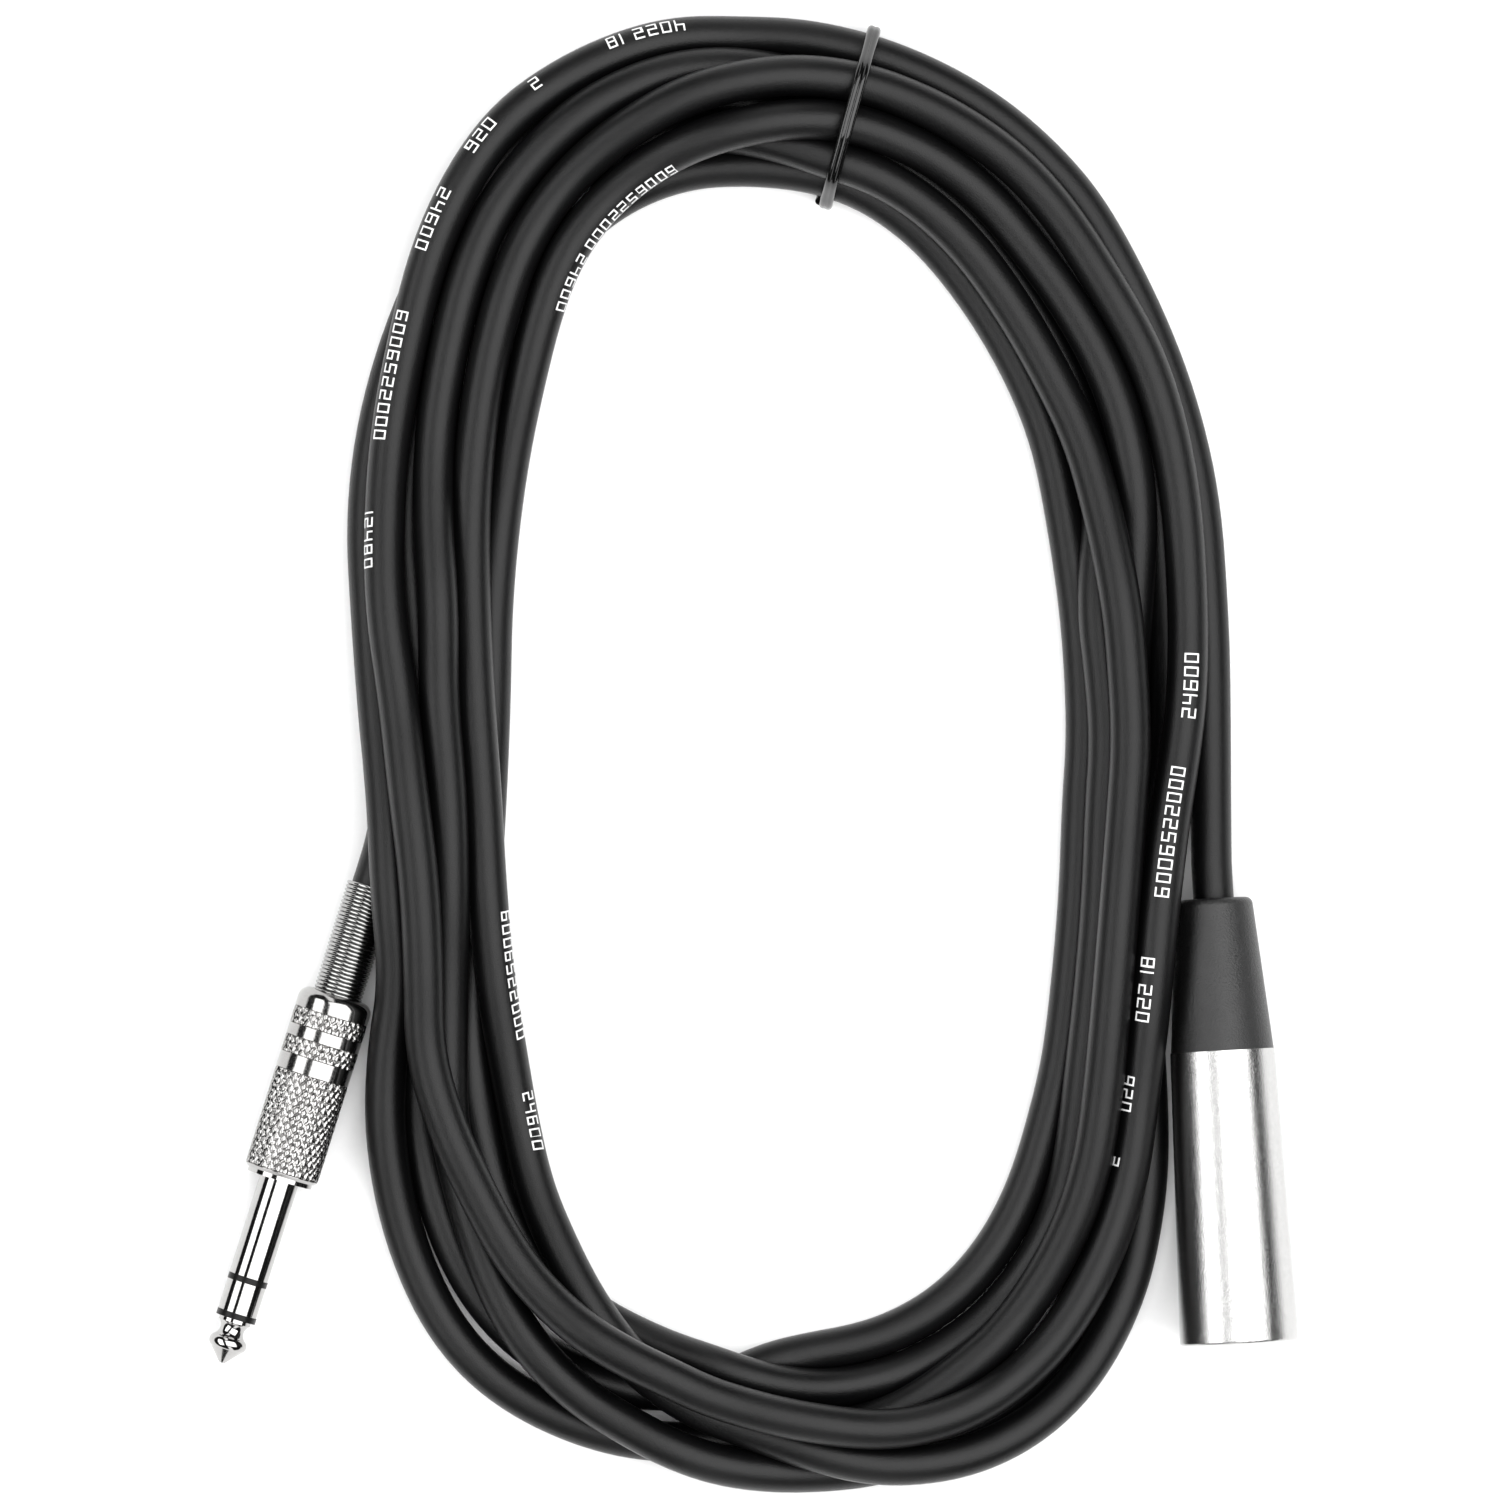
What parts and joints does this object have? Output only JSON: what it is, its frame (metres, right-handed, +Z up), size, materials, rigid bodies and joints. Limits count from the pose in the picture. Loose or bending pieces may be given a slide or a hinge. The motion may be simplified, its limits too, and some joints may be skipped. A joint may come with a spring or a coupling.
{
  "type": "coiled audio cable",
  "caption": "Balanced audio cable in a tied oval coil, with a male three-pin XLR connector and a stereo phone plug whose boot and barrel unscrew.",
  "frame": {"origin": "centre of the whole object's footprint, on the surface that the coil lies on", "axes": "+Y along the coil's length towards the tied end, +X across it towards the XLR connector, +Z up from the surface"},
  "size_m": [0.1738, 0.2358, 0.0215],
  "materials": {
    "cable": "matte black PVC jacket",
    "tie": "black coated twist tie",
    "xlr_shell": "satin nickel plated die casting",
    "xlr_insert": "black moulded insulator",
    "contact": "silver plated contact",
    "terminal": "tinned brass",
    "chuck": "natural nylon",
    "boot": "black moulded boot",
    "wire_red": "red core",
    "wire_white": "white core",
    "wire_screen": "twisted copper screen",
    "finger": "polished nickel plated brass",
    "insulator": "black insulator",
    "fibre": "vulcanised fibre",
    "inner_tube": "clear plastic tube",
    "barrel": "knurled nickel plated brass",
    "spring": "bright spring wire"
  },
  "bodies": {
    "root": {"cable_coil": "cable", "cable_tail_xlr": "cable", "cable_tail_trs": "cable", "twist_tie": "tie", "xlr_shell": "xlr_shell", "xlr_insert": "xlr_insert", "xlr_pin_1": "contact", "xlr_pin_2": "contact", "xlr_pin_3": "contact", "xlr_ground_tab": "terminal", "xlr_wire_hot": "wire_red", "xlr_wire_cold": "wire_white", "xlr_wire_screen": "wire_screen", "trs_tip": "finger", "trs_tip_insulator": "insulator", "trs_ring": "finger", "trs_ring_insulator": "insulator", "trs_sleeve": "finger", "trs_ring_washer": "fibre", "trs_tip_washer": "fibre", "trs_ring_lug": "terminal", "trs_tip_lug": "terminal", "trs_cable_clamp": "terminal", "trs_inner_tube": "inner_tube", "trs_wire_hot": "wire_red", "trs_wire_cold": "wire_white", "trs_wire_screen": "wire_screen"},
    "xlr_chuck": {"xlr_chuck": "chuck"},
    "xlr_boot": {"xlr_boot": "boot"},
    "trs_spring": {"trs_spring": "spring"},
    "trs_barrel": {"trs_barrel": "barrel"}
  },
  "joints": [
    {"name": "xlr_chuck_slide", "type": "slide", "parent": "root", "child": "xlr_chuck", "axis": [-0.0575, 0.998, -0.0246], "range_m": [0, 0.005]},
    {"name": "xlr_boot_spin", "type": "hinge", "parent": "xlr_chuck", "child": "xlr_boot", "pos_m": [0.07411, -0.03601, 0.00807], "axis": [-0.0575, 0.998, -0.0246], "range_deg": [0, 1800]},
    {"name": "trs_spring_slide", "type": "slide", "parent": "root", "child": "trs_spring", "axis": [0.3007, 0.9537, 0], "range_m": [0, 0.0045]},
    {"name": "trs_barrel_spin", "type": "hinge", "parent": "trs_spring", "child": "trs_barrel", "pos_m": [-0.07095, -0.05295, 0.006], "axis": [0.3007, 0.9537, 0], "range_deg": [0, 2160]}
  ],
  "couplings": [
    {"joint": "xlr_boot_spin", "follows": "xlr_chuck_slide", "rad_per_m": 6283.2},
    {"joint": "trs_barrel_spin", "follows": "trs_spring_slide", "rad_per_m": 8377.6}
  ]
}
